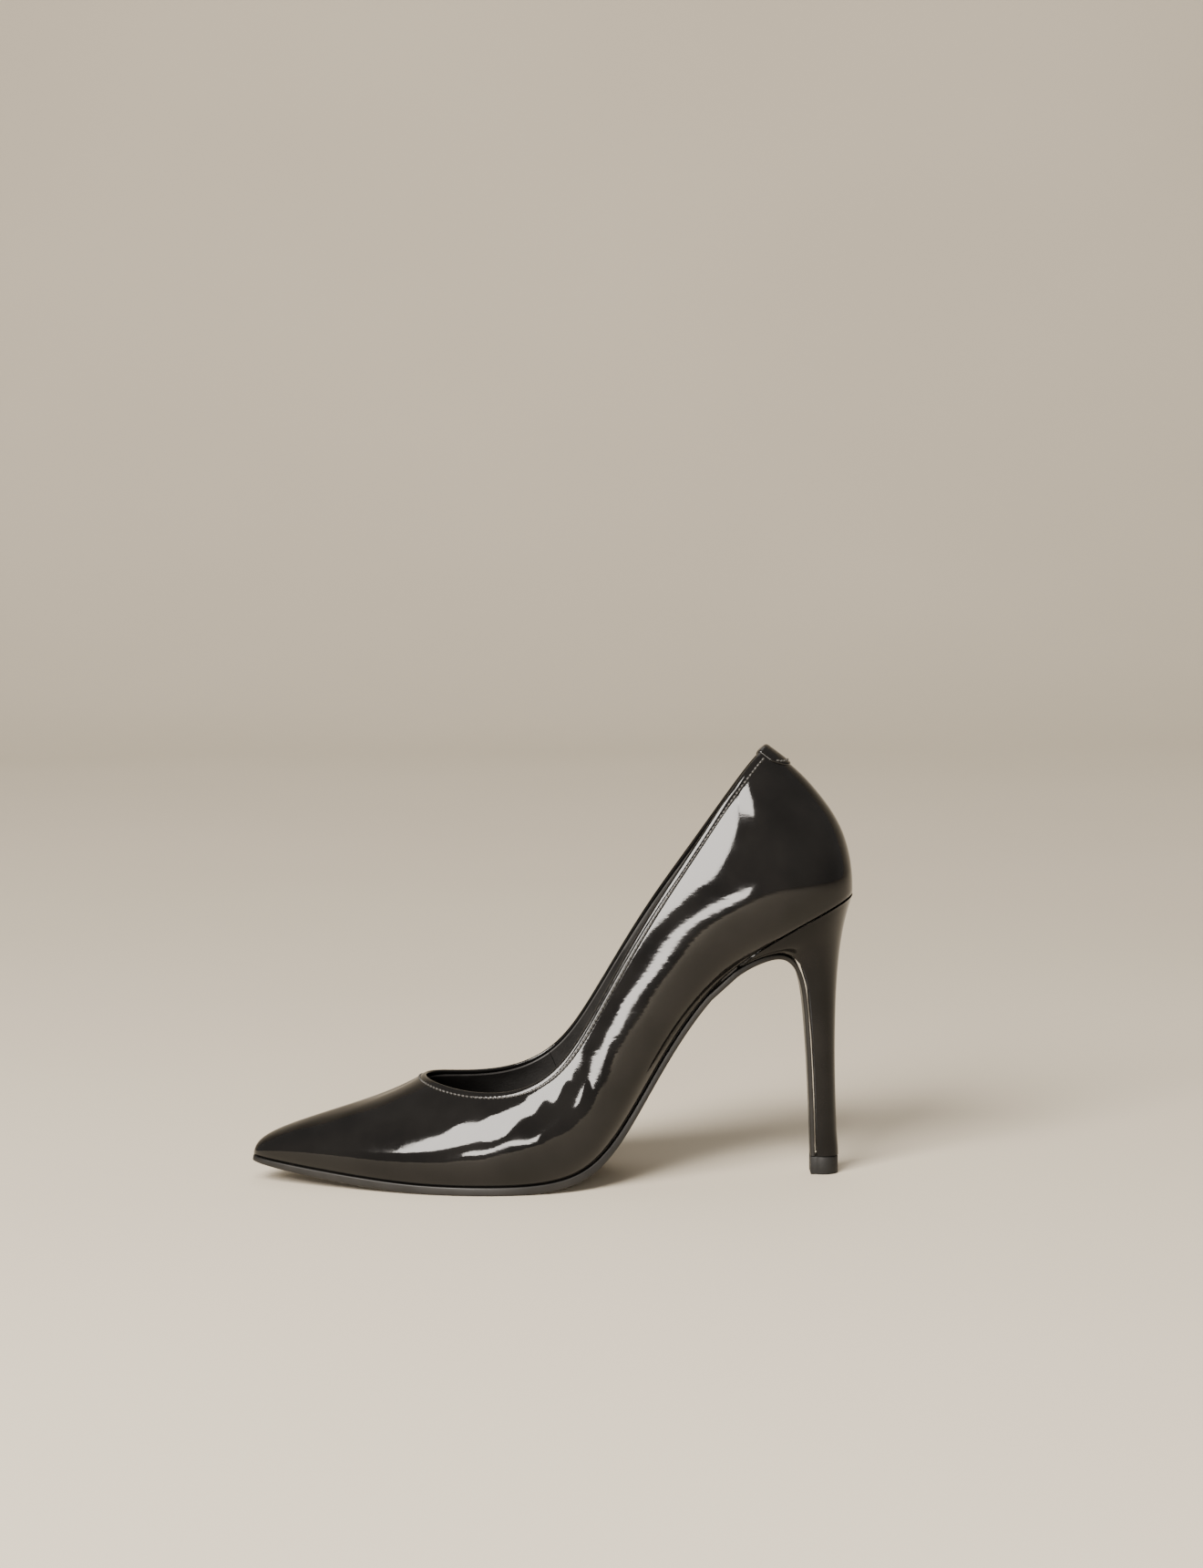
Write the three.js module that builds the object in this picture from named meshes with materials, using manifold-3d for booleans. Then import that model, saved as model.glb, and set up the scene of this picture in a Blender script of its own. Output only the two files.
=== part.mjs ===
// High heel pump, left shoe: pointed toe, patent upper, covered stiletto heel.
// Frame: toe towards -X, outer (lateral) side towards -Y, +Z up, ground at z = 0, millimetres.
// Everything above the ground is lofted on one shoe last, which is a net of stations and rows.
import * as THREE from "three";
import { LoftGeometry } from "three/addons/geometries/LoftGeometry.js";
import { NURBSSurface } from "three/addons/curves/NURBSSurface.js";
import { mergeVertices } from "three/addons/utils/BufferGeometryUtils.js";
import Module from "manifold-3d";

// Overall sizes
const shoeLength = 220;
const ballWidth = 78;
const heelHeight = 103; // seat rim at the back, above the ground
const collarHeight = 55.2; // back of the topline above the seat rim

// Thicknesses
const outsoleThickness = 3.0;
const toeThickness = 1.8; // the outsole is skived towards the toe
const waistThickness = 2.2;
const flapThickness = 1.6;
const upperThickness = 1.1;
const liningThickness = 0.7;
const puffThickness = 0.8;
const counterThickness = 1.2;
const boardThickness = 2.0;
const foamThickness = 2.0;
const sockThickness = 0.8;
const coverThickness = 0.8;

// Small parts
const clearance = 0.3; // between pieces that touch
const liningGap = 0.6; // between the upper and its lining, for the glue and the turned edges
const lastingMargin = 11;
const welt = 0.6; // how far the outsole edge stands out past the upper
const threadRadius = 0.35;
const stitchInset = 2.6; // stitch row below the folded topline
const shankWidth = 12;
const shankThickness = 1.4;
const rivetRadius = 1.6;
const nailRadius = 1.0;
const nailHeadRadius = 2.6;
const nailLength = 14;
const screwRadius = 2.0;
const screwHeadRadius = 3.6;
const screwLength = 20;
const topPieceHeight = 6.5;
const pinRadius = 1.25;
const pinLength = 15;
const tubeWall = 0.6;
const tubeLength = 58;

const finishes = {
  patent: { color: 0x0b0b0c, roughness: 0.08, metalness: 0 },
  soleLeather: { color: 0x161514, roughness: 0.55, metalness: 0 },
  lining: { color: 0x1a1716, roughness: 0.7, metalness: 0 },
  thread: { color: 0x141414, roughness: 0.6, metalness: 0 },
  board: { color: 0x8a6f52, roughness: 0.9, metalness: 0 },
  stiffener: { color: 0xd8d2c4, roughness: 0.8, metalness: 0 },
  foam: { color: 0xcfc9bb, roughness: 0.95, metalness: 0 },
  cork: { color: 0x9a7650, roughness: 0.95, metalness: 0 },
  steel: { color: 0x9a9c9f, roughness: 0.35, metalness: 1 },
  plastic: { color: 0x2b2b2d, roughness: 0.5, metalness: 0 },
  topPiece: { color: 0x121212, roughness: 0.6, metalness: 0 },
};

const pump = new THREE.Group();

function addPiece(name, finish, geometry) {
  const mesh = new THREE.Mesh(geometry, new THREE.MeshStandardMaterial(finishes[finish]));
  mesh.name = name;
  pump.add(mesh);
  return mesh;
}

// The last. Stations run from the toe tip to the back of the heel. Each holds the feather edge, where the
// upper meets the sole (x, z, outer and inner half width), and the topline (x, z, outer and inner half width,
// and how much lower its inner side lies).
const stations = [
  { feather: [-109.5, 9.6, 0, 0], top: [-46.2, 38.7, 0, 0, 0] },
  { feather: [-107.5, 9.2, 5.2, 5.6], top: [-45.6, 38.4, 4.6, 4.6, 0] },
  { feather: [-95.0, 7.4, 11.0, 12.2], top: [-44.0, 38.0, 9.6, 9.6, 0] },
  { feather: [-75.0, 5.2, 20.0, 22.0], top: [-40.0, 37.2, 15.4, 15.4, 0] },
  { feather: [-50.0, 3.0, 30.0, 32.6], top: [-31.5, 35.7, 21.5, 21.5, 0] },
  { feather: [-24.0, 3.0, 35.8, 36.9], top: [-19.0, 35.4, 26.6, 26.2, 0] },
  { feather: [-1.0, 3.0, 33.5, 30.0], top: [-7.0, 38.4, 29.2, 28.6, 0] },
  { feather: [15.5, 7.8, 27.5, 22.5], top: [3.5, 46.2, 28.8, 28.0, 0.5] },
  { feather: [28.6, 26.2, 21.8, 16.6], top: [12.5, 59.8, 27.4, 26.4, 1.4] },
  { feather: [42.4, 51.2, 19.5, 15.5], top: [22.5, 78.2, 25.8, 25.0, 2.4] },
  { feather: [60.2, 75.4, 19.0, 17.5], top: [36.0, 101.2, 24.0, 23.4, 3.2] },
  { feather: [80.0, 88.6, 22.4, 22.0], top: [51.0, 122.7, 21.6, 21.2, 4.2] },
  { feather: [97.0, 97.6, 22.4, 22.2], top: [64.5, 142.3, 17.0, 16.6, 4.2] },
  { feather: [107.6, 102.4, 13.5, 13.5], top: [74.6, 154.8, 10.4, 10.2, 2.2] },
  { feather: [110.2, 103.4, 0, 0], top: [80.2, 158.6, 0, 0, 0] },
];
const lastStation = stations.length - 1;

// How each row of the wall lies between feather edge (0) and topline (1), and how far it swells out.
const wallShapes = [
  { station: 0, along: [0, 0.016, 0.092, 0.333, 0.615, 0.835, 1], swell: [0, 3.8, 6.4, 4.3, 0.9, -2.2, 0] },
  { station: 2, along: [0, 0.06, 0.2, 0.42, 0.65, 0.85, 1], swell: [0, 4.0, 7.2, 5.8, 2.8, 0, 0] },
  { station: 5, along: [0, 0.1, 0.3, 0.52, 0.73, 0.89, 1], swell: [0, 3.5, 5.3, 5.7, 4.7, 2.7, 0] },
  { station: 9, along: [0, 0.135, 0.347, 0.564, 0.753, 0.89, 1], swell: [0, 6.2, 8.8, 7.6, 5.4, 2.9, 0] },
  { station: 12, along: [0, 0.1, 0.265, 0.46, 0.66, 0.845, 1], swell: [0, 5.2, 8.0, 8.0, 6.4, 3.8, 0] },
  { station: 14, along: [0, 0.075, 0.207, 0.39, 0.594, 0.81, 1], swell: [0, 3.0, 7.2, 9.9, 8.9, 5.8, 0] },
];
const wallRows = wallShapes[0].along.length;

const lengthScale = shoeLength / 219.7;
const widthScale = ballWidth / 78;
const heelRise = (heelHeight - outsoleThickness) / 100.4;
const collarScale = collarHeight / 55.2;

function raise(z) {
  return outsoleThickness + (z - 3) * heelRise;
}

// The station numbers run 0..14 down the outer side, and on to 28 back up the inner side to the toe.
const ring = 2 * lastStation;

function wrap(station) {
  return ((station % ring) + ring) % ring;
}

function fromToe(station) {
  return Math.min(wrap(station), ring - wrap(station));
}

function featherControl(index) {
  const outer = wrap(index) <= lastStation;
  const [x, z, outerWidth, innerWidth] = stations[fromToe(index)].feather;
  return new THREE.Vector3(x * lengthScale, (outer ? -outerWidth : innerWidth) * widthScale, raise(z));
}

function toplineControl(index) {
  const outer = wrap(index) <= lastStation;
  const { feather, top } = stations[fromToe(index)];
  const [x, z, outerWidth, innerWidth, innerDrop] = top;
  const height = (z - (outer ? 0 : innerDrop) - feather[1]) * collarScale;
  return new THREE.Vector3(x * lengthScale, (outer ? -outerWidth : innerWidth) * widthScale,
    raise(feather[1]) + height);
}

function wallShapeAt(index) {
  const station = fromToe(index);
  const next = Math.max(1, wallShapes.findIndex((shape) => shape.station >= station));
  const [a, b] = [wallShapes[next - 1], wallShapes[next]];
  const share = (station - a.station) / (b.station - a.station);
  const mix = (key, row) => a[key][row] + (b[key][row] - a[key][row]) * share;
  return { along: (row) => mix("along", row), swell: (row) => mix("swell", row) };
}

function wallColumn(index) {
  const foot = featherControl(index);
  foot.z += clearance;
  const chord = toplineControl(index).sub(foot);
  const along = chord.clone().normalize();
  const tangent = featherControl(index + 1).sub(featherControl(index - 1)).setZ(0).normalize();
  const out = new THREE.Vector3(tangent.y, -tangent.x, 0);
  out.addScaledVector(along, -out.dot(along)).normalize();
  const shape = wallShapeAt(index);
  return Array.from({ length: wallRows }, (_, row) =>
    foot.clone().addScaledVector(chord, shape.along(row)).addScaledVector(out, shape.swell(row)),
  );
}

// A surface of degree 3 both ways: closed round the shoe, and ending on its first and last rows.
const degree = 3;

function endedKnots(count) {
  return Array.from({ length: count + degree + 1 }, (_, i) => THREE.MathUtils.clamp(i - degree, 0, count - degree));
}

function netSurface(columns) {
  const openKnots = Array.from({ length: columns.length + degree + 1 }, (_, i) => i);
  return new NURBSSurface(degree, degree, openKnots, endedKnots(columns[0].length), columns);
}

const wallColumns = Array.from({ length: ring + degree }, (_, i) => wallColumn(i - 1));
const wall = netSurface(wallColumns);

function wallPoint(station, height) {
  const target = new THREE.Vector3();
  wall.getPoint((wrap(station) + degree) / (ring + 2 * degree), height, target);
  return target;
}

function normalOf(point, a, b) {
  const step = 1e-3;
  const alongA = point(a + step, b).sub(point(a - step, b));
  const alongB = point(a, Math.min(1, b + step)).sub(point(a, Math.max(0, b - step)));
  return alongA.cross(alongB).normalize();
}

// A point under the wall's outer face, by that depth.
function shellPoint(station, height, depth) {
  return wallPoint(station, height).addScaledVector(normalOf(wallPoint, station, height), -depth);
}

// The feather line, and the sole's own frame along it.
function featherPoint(station) {
  return wallPoint(station, 0).setZ(wallPoint(station, 0).z - clearance);
}

function soleNormal(station) {
  const near = THREE.MathUtils.clamp(station, 0.02, lastStation - 0.02);
  const tangent = featherPoint(near + 0.01).sub(featherPoint(near - 0.01)).setY(0).normalize();
  return new THREE.Vector3(-tangent.z, 0, tangent.x);
}

// side -1 is the outer edge and 1 the inner edge; inset draws the edge in, measured square to the edge.
function solePoint(station, side, inset, height) {
  const around = side < 0 ? station : ring - station;
  const edge = featherPoint(around);
  const along = featherPoint(around + 0.05).sub(featherPoint(around - 0.05)).normalize();
  const slant = Math.min(2.5, 1 / Math.hypot(along.x, along.z));
  edge.y -= side * inset * slant;
  return edge.addScaledVector(soleNormal(station), height);
}

function soleCentre(station, height) {
  return solePoint(station, -1, 0, height).lerp(solePoint(station, 1, 0, height), 0.5);
}

// The first and last stations at which a piece drawn in from the feather line still has some width.
function soleEnds(insetAt) {
  const tipWidth = 2;
  const fits = (station, tip) => {
    const inset = insetAt(station);
    const width = solePoint(station, 1, inset, 0).y - solePoint(station, -1, inset, 0).y;
    return width > tipWidth && soleCentre(station, 0).distanceTo(soleCentre(tip, 0)) > (2 * inset * lengthScale) / widthScale;
  };
  const step = 0.05;
  let first = step;
  while (!fits(first, 0)) first += step;
  let last = lastStation - step;
  while (!fits(last, lastStation)) last -= step;
  return [first, last];
}

// Stations every half step, and every quarter where the shoe turns quickly: toe, back and the bend of the waist.
function stationsBetween(from, to) {
  const list = [from];
  for (let station = Math.floor(from * 4) / 4 + 0.25; station < to - 0.1; station += 0.25) {
    const along = fromToe(station);
    const turning = along < 1.5 || along > lastStation - 1.5 || (along > 6 && along < 8.5);
    if (turning || Number.isInteger(station * 2)) list.push(station);
  }
  return [...list, to];
}

// A sheet lying on the sole, from edge to edge.
function soleSheet(from, to, insetAt, low, high) {
  const sections = stationsBetween(from, to).map((station) => [
    solePoint(station, -1, insetAt(station), low),
    solePoint(station, 1, insetAt(station), low),
    solePoint(station, 1, insetAt(station), high),
    solePoint(station, -1, insetAt(station), high),
  ]);
  return loft(sections, true);
}

function spread(from, to, count) {
  return Array.from({ length: count }, (_, i) => from + ((to - from) * i) / (count - 1));
}

// Each section has to run counterclockwise seen from the loft's end.
function loft(sections, capped, capStart = capped) {
  const [before, end] = sections.slice(-2);
  const normal = new THREE.Vector3();
  const onward = new THREE.Vector3();
  end.forEach((point, i) => {
    const after = end[(i + 1) % end.length];
    normal.add(point.clone().sub(end[0]).cross(after.clone().sub(end[0])));
    onward.add(point).sub(before[i]);
  });
  const turned = normal.dot(onward) > 0 ? sections : sections.map((section) => section.toReversed());
  return new LoftGeometry(turned, { closed: true, capStart, capEnd: capped });
}

// Shells of the upper. A ring runs from the margin under the insole, round the feather edge, up the outside,
// over the top edge and down the inside.
const wallHeights = [0.09, 0.2, 0.34, 0.5, 0.66, 0.82];
const puffEnd = { station: 3.5, height: 0.5 };
const counterEnd = { station: 9.5, height: 0.82 };

function marginWidth(station) {
  const halfWidth = Math.abs(featherPoint(station).y);
  const margin = lastingMargin * widthScale; // cut narrower on a narrower last
  return (margin * halfWidth) / (halfWidth + margin) + 3 * widthScale;
}

// A point on the sole side of the feather line, drawn in square to it.
function underPoint(station, inset, height) {
  const tangent = featherPoint(station + 0.01).sub(featherPoint(station - 0.01)).normalize();
  const up = soleNormal(fromToe(station));
  const inward = up.clone().cross(tangent).normalize();
  return featherPoint(station).addScaledVector(inward, inset).addScaledVector(up, height);
}

// The lining lies against the upper, and deeper where the toe puff or the counter is between them.
function liningDepth(station, height) {
  const along = fromToe(station);
  const { smoothstep } = THREE.MathUtils;
  const overPuff = (1 - smoothstep(along, puffEnd.station, puffEnd.station + 0.5)) *
    (1 - smoothstep(height, puffEnd.height, puffEnd.height + 0.15));
  const overCounter = smoothstep(along, counterEnd.station - 0.5, counterEnd.station) *
    (1 - smoothstep(height, counterEnd.height, 1));
  return upperThickness + liningGap + overPuff * (puffThickness + clearance) +
    overCounter * (counterThickness + clearance);
}

function lastedRing(station, depthAt, marginHeight, thickness, top) {
  const face = (deeper) => [
    underPoint(station, marginWidth(station), marginHeight + deeper),
    underPoint(station, depthAt(station, 0) + deeper, marginHeight + deeper),
    ...[...wallHeights, top].map((height) => shellPoint(station, height, depthAt(station, height) + deeper)),
  ];
  return [...face(0), ...face(thickness).reverse()];
}

function patchRing(station, heights, depth, thickness) {
  const face = (deeper) => heights.map((height) => shellPoint(station, height, depth + deeper));
  return [...face(0), ...face(thickness).reverse()];
}

const upperRings = stationsBetween(0, ring).slice(0, -1).map((station) =>
  lastedRing(station, () => 0, clearance, upperThickness, 1));
addPiece("upper", "patent", loft([...upperRings, upperRings[0]], false));

const liningMargin = clearance + upperThickness + liningGap;
const liningTop = 0.985;
const liningJoin = 6.5;
const joinGap = 0.015;
const liningRing = (station) => lastedRing(station, liningDepth, liningMargin, liningThickness, liningTop);
addPiece("vamp_lining", "lining", loft(stationsBetween(-liningJoin, liningJoin).map(liningRing), true));
addPiece("quarter_lining", "lining",
  loft(stationsBetween(liningJoin + joinGap, ring - liningJoin - joinGap).map(liningRing), true));

const stiffenerDepth = upperThickness + clearance;
const heightsUpTo = (top) => [...wallHeights.filter((height) => height < top), top];
addPiece("toe_puff", "stiffener", loft(stationsBetween(-puffEnd.station, puffEnd.station).map((station) =>
  patchRing(station, heightsUpTo(puffEnd.height), stiffenerDepth, puffThickness)), true));
addPiece("heel_counter", "stiffener",
  loft(stationsBetween(counterEnd.station, ring - counterEnd.station).map((station) =>
    patchRing(station, heightsUpTo(counterEnd.height), stiffenerDepth, counterThickness)), true));

// Tab over the top of the back, and the sewing threads, which lie on the outside.
const tabThickness = 0.6;
const tabReach = 0.75; // stations each side of the back
const tabTop = 0.995;
const tabFoot = (station) => 0.912 + 0.05 * ((station - lastStation) / tabReach) ** 4;
addPiece("back_tab", "patent", loft(spread(lastStation - tabReach, lastStation + tabReach, 9).map((station) =>
  patchRing(station, spread(tabFoot(station), tabTop, 4), -clearance - tabThickness, tabThickness)), true));

// A stitched thread through points given as [station, height], lying over a surface that stands out by proud.
function threadGeometry(route, proud, closed) {
  const rings = route.map(([station, height], i) => {
    const centre = shellPoint(station, height, -proud - clearance - threadRadius);
    const out = normalOf(wallPoint, station, height);
    const [before, after] = [route[Math.max(0, i - 1)], route[Math.min(route.length - 1, i + 1)]];
    const side = wallPoint(...after).sub(wallPoint(...before)).cross(out).normalize();
    return [0, 1, 2, 3].map((corner) => {
      const angle = (corner * Math.PI) / 2;
      return centre.clone()
        .addScaledVector(out, threadRadius * Math.cos(angle))
        .addScaledVector(side, threadRadius * Math.sin(angle));
    });
  });
  return closed ? loft([...rings.slice(0, -1), rings[0]], false) : loft(rings, true);
}

function heightBelowTop(station, distance) {
  const sample = 0.1;
  return 1 - (distance * sample) / wallPoint(station, 1).distanceTo(wallPoint(station, 1 - sample));
}

const tabStart = lastStation - tabReach;
const tabEnd = lastStation + tabReach;
const threadGap = 0.06;
const toplineRoute = spread(tabEnd + threadGap, tabStart - threadGap + ring, 104).map((station) =>
  [station, heightBelowTop(station, stitchInset)]);
addPiece("topline_thread", "thread", threadGeometry(toplineRoute, 0, false));

const sideSeam = ring - 8.6; // the upper's one seam, on the inner side of the waist
addPiece("side_seam_thread", "thread",
  threadGeometry(spread(0.1, 0.9, 12).map((height) => [sideSeam, height]), 0, false));

const tabHem = 0.018; // its stitch row above its lower edge
const tabRoute = spread(lastStation - 0.85 * tabReach, lastStation + 0.85 * tabReach, 13).map((station) =>
  [station, tabFoot(station) + tabHem]);
addPiece("back_tab_thread", "thread", threadGeometry(tabRoute, clearance + tabThickness, false));

// Bottom of the shoe, as heights above the outsole's upper face.
const boardBottom = liningMargin + liningThickness + clearance;
const boardTop = boardBottom + boardThickness;
const foamBottom = boardTop + clearance;
const sockBottom = foamBottom + foamThickness + clearance;
const insideDepth = (station) => liningDepth(station, puffEnd.height / 2) + liningThickness + 2 * clearance;

const wasm = await Module();
wasm.setup();

function toSolid(geometry) {
  const bare = geometry.index ? geometry.toNonIndexed() : geometry.clone();
  bare.deleteAttribute("normal");
  bare.deleteAttribute("uv");
  const merged = mergeVertices(bare, 1e-3);
  const corners = merged.index.array;
  const kept = corners.filter((_, i) => {
    const [a, b, c] = corners.slice(i - (i % 3), i - (i % 3) + 3);
    return a !== b && b !== c && c !== a;
  });
  return new wasm.Manifold(new wasm.Mesh({
    numProp: 3,
    vertProperties: merged.attributes.position.array,
    triVerts: new Uint32Array(kept),
  }));
}

function toGeometry(solid) {
  const { vertProperties, triVerts } = solid.getMesh();
  const geometry = new THREE.BufferGeometry();
  geometry.setAttribute("position", new THREE.BufferAttribute(vertProperties, 3));
  geometry.setIndex(new THREE.BufferAttribute(triVerts, 1));
  geometry.computeVertexNormals();
  return geometry;
}

function cut(geometry, ...tools) {
  return toGeometry(tools.reduce((solid, tool) => solid.subtract(toSolid(tool)), toSolid(geometry)));
}

// A turned piece: profile points are [radius, distance along the axis from its head].
function turned(profile, head, direction, sides) {
  const geometry = new THREE.LatheGeometry(profile.map(([r, d]) => new THREE.Vector2(r, -d)), sides);
  const down = new THREE.Vector3(0, -1, 0);
  geometry.applyQuaternion(new THREE.Quaternion().setFromUnitVectors(down, direction));
  return geometry.translate(head.x, head.y, head.z);
}

// A headed fastener, or with grow the hole that it sits in.
function fastener({ radius, headRadius, headHeight, length, tip }, grow) {
  return [
    [0, length + grow],
    [radius + grow, length + grow - tip],
    [radius + grow, headHeight + grow],
    [headRadius + grow, headHeight + grow],
    [headRadius + grow, -grow],
    [0, -grow],
  ];
}

const nail = { radius: nailRadius, headRadius: nailHeadRadius, headHeight: 0.9, length: nailLength, tip: 2.5 };
const screw = { radius: screwRadius, headRadius: screwHeadRadius, headHeight: 1.2, length: screwLength, tip: 3 };
const rivetLength = boardTop - 2 * clearance;
const rivet = { radius: rivetRadius, headRadius: 2.6, headHeight: 0.6, length: rivetLength, tip: 0.4 };

// Each is driven square to the sole at a station, so far to the side of the centre line.
const heelScrew = { name: "heel_screw", shape: screw, station: 11.35, side: 0 };
const heelFasteners = [
  { name: "heel_nail_outer_front", shape: nail, station: 11.25, side: -8 },
  { name: "heel_nail_inner_front", shape: nail, station: 11.25, side: 8 },
  { name: "heel_nail_outer_rear", shape: nail, station: 11.95, side: -6 },
  { name: "heel_nail_inner_rear", shape: nail, station: 11.95, side: 6 },
  heelScrew,
];
const rivetStations = [7.4, 10.6];

function driven({ shape, station, side }, grow) {
  const head = soleCentre(station, boardTop);
  head.y += side;
  return turned(fastener(shape, grow), head, soleNormal(station).negate(), 12);
}

function shankRivet(station, grow) {
  return turned(fastener(rivet, grow), soleCentre(station, clearance), soleNormal(station), 12);
}

const boardEnds = soleEnds(insideDepth);
const board = soleSheet(...boardEnds, insideDepth, boardBottom, boardTop);
addPiece("insole_board", "board", cut(board, ...heelFasteners.map((item) => driven(item, clearance)),
  ...rivetStations.map((station) => shankRivet(station, clearance))));

// The toe closes in above the board, so the foam and the sock each stop a little further back.
const toeStep = 0.55;
const sockDepth = (station) => insideDepth(station) + clearance;
const [padStart, padEnd] = soleEnds(sockDepth);
addPiece("insole_foam", "foam",
  soleSheet(padStart + toeStep, padEnd, sockDepth, foamBottom, foamBottom + foamThickness));
addPiece("sock_lining", "lining",
  soleSheet(padStart + 1.5 * toeStep, padEnd, sockDepth, sockBottom, sockBottom + sockThickness));

// Filler in the hollow between the turned-in margins of the forepart, and the shank behind it.
const fillerInset = (station) => marginWidth(station) + 1;
const fillerEnd = 6.4;
addPiece("bottom_filler", "cork",
  soleSheet(soleEnds(fillerInset)[0], fillerEnd, fillerInset, clearance, boardBottom - clearance));

const shankTop = boardBottom - clearance;
const shankInset = (station) => (solePoint(station, 1, 0, 0).y - solePoint(station, -1, 0, 0).y - shankWidth) / 2;
const [shankFront, shankBack] = [6.7, 11.7];
const shank = soleSheet(shankFront, shankBack, shankInset, shankTop - shankThickness, shankTop);
addPiece("steel_shank", "steel", cut(shank, driven(heelScrew, clearance),
  ...rivetStations.map((station) => shankRivet(station, clearance))));
rivetStations.forEach((station, i) => addPiece(`shank_rivet_${i + 1}`, "steel", shankRivet(station, 0)));
heelFasteners.forEach((item) => addPiece(item.name, "steel", driven(item, 0)));

// The heel. Its rim is the feather line from station 10 back; below it the columns run down to the top piece.
const heelFront = 10;
const heelBack = lastStation;
const heelEnd = ring - heelFront;
const tip = topPieceHeight + clearance;
const seatGap = 0.15; // between the heel's rim and the sole line
const heelRows = {
  10: [[66.2, 18.2, 78.4], [75.5, 17.5, 83], [85.5, 14.5, 83.8], [91.8, 9.5, 75], [93.6, 6.3, 58], [95, 4.8, 30], [95.4, 4.2]],
  11: [[80.5, 20.8, 85.6], [87, 18.8, 86], [91.5, 15, 83], [94.6, 10.2, 72], [95.8, 7.2, 56], [96.7, 5.8, 30], [97.2, 5.2]],
  12: [[96, 21, 93], [96.6, 18.6, 89.5], [97.4, 14.4, 83], [98.2, 9.8, 72], [98.7, 7.1, 56], [99.4, 5.7, 30], [100.3, 5]],
  13: [[105.8, 12.8, 98.2], [104.9, 11, 93.5], [103.6, 8.6, 86], [102.3, 6.2, 74], [101.7, 4.7, 57], [101.8, 3.7, 30], [103, 3.3]],
  14: [[109, 0, 98.6], [107.4, 0, 93.4], [105.8, 0, 86], [104.4, 0, 74], [103.3, 0, 57], [103.1, 0, 30], [104, 0]],
};

function heelColumn(index) {
  const station = Math.min(index, ring - index);
  if (station < heelFront) {
    const [edge, next] = [heelFront, heelFront + 1].map((near) => heelColumn(index < heelBack ? near : ring - near));
    return edge.map((point, row) => (row ? point.clone().multiplyScalar(2).sub(next[row]) : featherControl(index)));
  }
  const side = index <= heelBack ? -1 : 1;
  const below = heelRows[station].map(([x, halfWidth, z]) =>
    new THREE.Vector3(x * lengthScale, side * halfWidth * widthScale, z ? raise(z) : tip));
  return [featherControl(index), ...below];
}

const heelColumns = Array.from({ length: heelEnd - heelFront + 3 }, (_, i) => heelColumn(heelFront - 1 + i));
const heelSurface = netSurface(heelColumns);
const heelKnotSpan = heelColumns.length + degree;

function heelPoint(station, drop) {
  const target = new THREE.Vector3();
  heelSurface.getPoint((station - heelFront + degree) / heelKnotSpan, drop, target);
  return target;
}

// A point inside the heel's outer face, by that depth. At the rim it stays level with the sole.
function heelShell(station, drop, depth) {
  if (drop === 0) return underPoint(station, depth, -seatGap);
  return heelPoint(station, drop).addScaledVector(normalOf(heelPoint, station, drop), depth);
}

const heelDrops = [0, 0.03, 0.08, 0.15, 0.23, 0.32, 0.42, 0.54, 0.68, 0.84, 1];
const heelStations = spread(heelFront, heelEnd, 17);
const coverStart = heelFront + 0.3; // the cover is skived to nothing just behind the tip of the lip
const coverStations = [coverStart, ...heelStations.slice(1, -1), ring - coverStart];
addPiece("heel_cover", "patent", loft(heelDrops.map((drop) => {
  const face = (depth) => coverStations.map((station) => heelShell(station, drop, depth));
  return [...face(0), ...face(coverThickness).reverse()];
}), true));

const blockDepth = coverThickness + 2 * clearance;
const blockRings = heelDrops.map((drop) => heelStations.map((station) => heelShell(station, drop, blockDepth)));
// The seat closes on a line down its middle.
const seatMiddle = blockRings[0].map((point, i) => point.clone().lerp(blockRings[0].at(-1 - i), 0.5));
const seatHalfway = blockRings[0].map((point, i) => point.clone().lerp(seatMiddle[i], 0.5));
const tubeRadius = pinRadius + clearance + tubeWall;
const shaftCentre = heelPoint(heelFront, 1).lerp(heelPoint(heelBack, 1), 0.5).setY(0);
const shaftUp = new THREE.Vector3(0, 0, 1);
const tubeHole = [[0, -1], [tubeRadius + clearance, -1], [tubeRadius + clearance, tubeLength + clearance],
  [0, tubeLength + clearance]].toReversed();
addPiece("heel_block", "plastic", cut(
  loft([seatMiddle, seatHalfway, ...blockRings], true, false),
  turned(tubeHole, shaftCentre, shaftUp, 16),
  ...heelFasteners.map((item) => driven(item, clearance)),
));
const tubeProfile = [[pinRadius + clearance, 0], [tubeRadius, 0], [tubeRadius, tubeLength],
  [pinRadius + clearance, tubeLength], [pinRadius + clearance, 0]].toReversed();
addPiece("heel_tube", "steel", turned(tubeProfile, shaftCentre, shaftUp, 16));

// The outsole runs from the toe along the sole, under the lip of the heel and down its breast.
function soleThicknessAt(station) {
  const { lerp, smoothstep } = THREE.MathUtils;
  const forepart = lerp(toeThickness, outsoleThickness, smoothstep(station, 0, 3.5));
  return lerp(forepart, waistThickness, smoothstep(station, 6, 8.5));
}

const edgeBevel = 0.7;
function solePlate(station) {
  const stand = welt * (1 - THREE.MathUtils.smoothstep(station, 6, 9));
  const thickness = soleThicknessAt(station);
  return [
    solePoint(station, -1, -stand, 0),
    solePoint(station, 1, -stand, 0),
    solePoint(station, 1, -stand, -thickness + edgeBevel),
    solePoint(station, 1, edgeBevel - stand, -thickness),
    solePoint(station, -1, edgeBevel - stand, -thickness),
    solePoint(station, -1, -stand, -thickness + edgeBevel),
  ];
}

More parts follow.
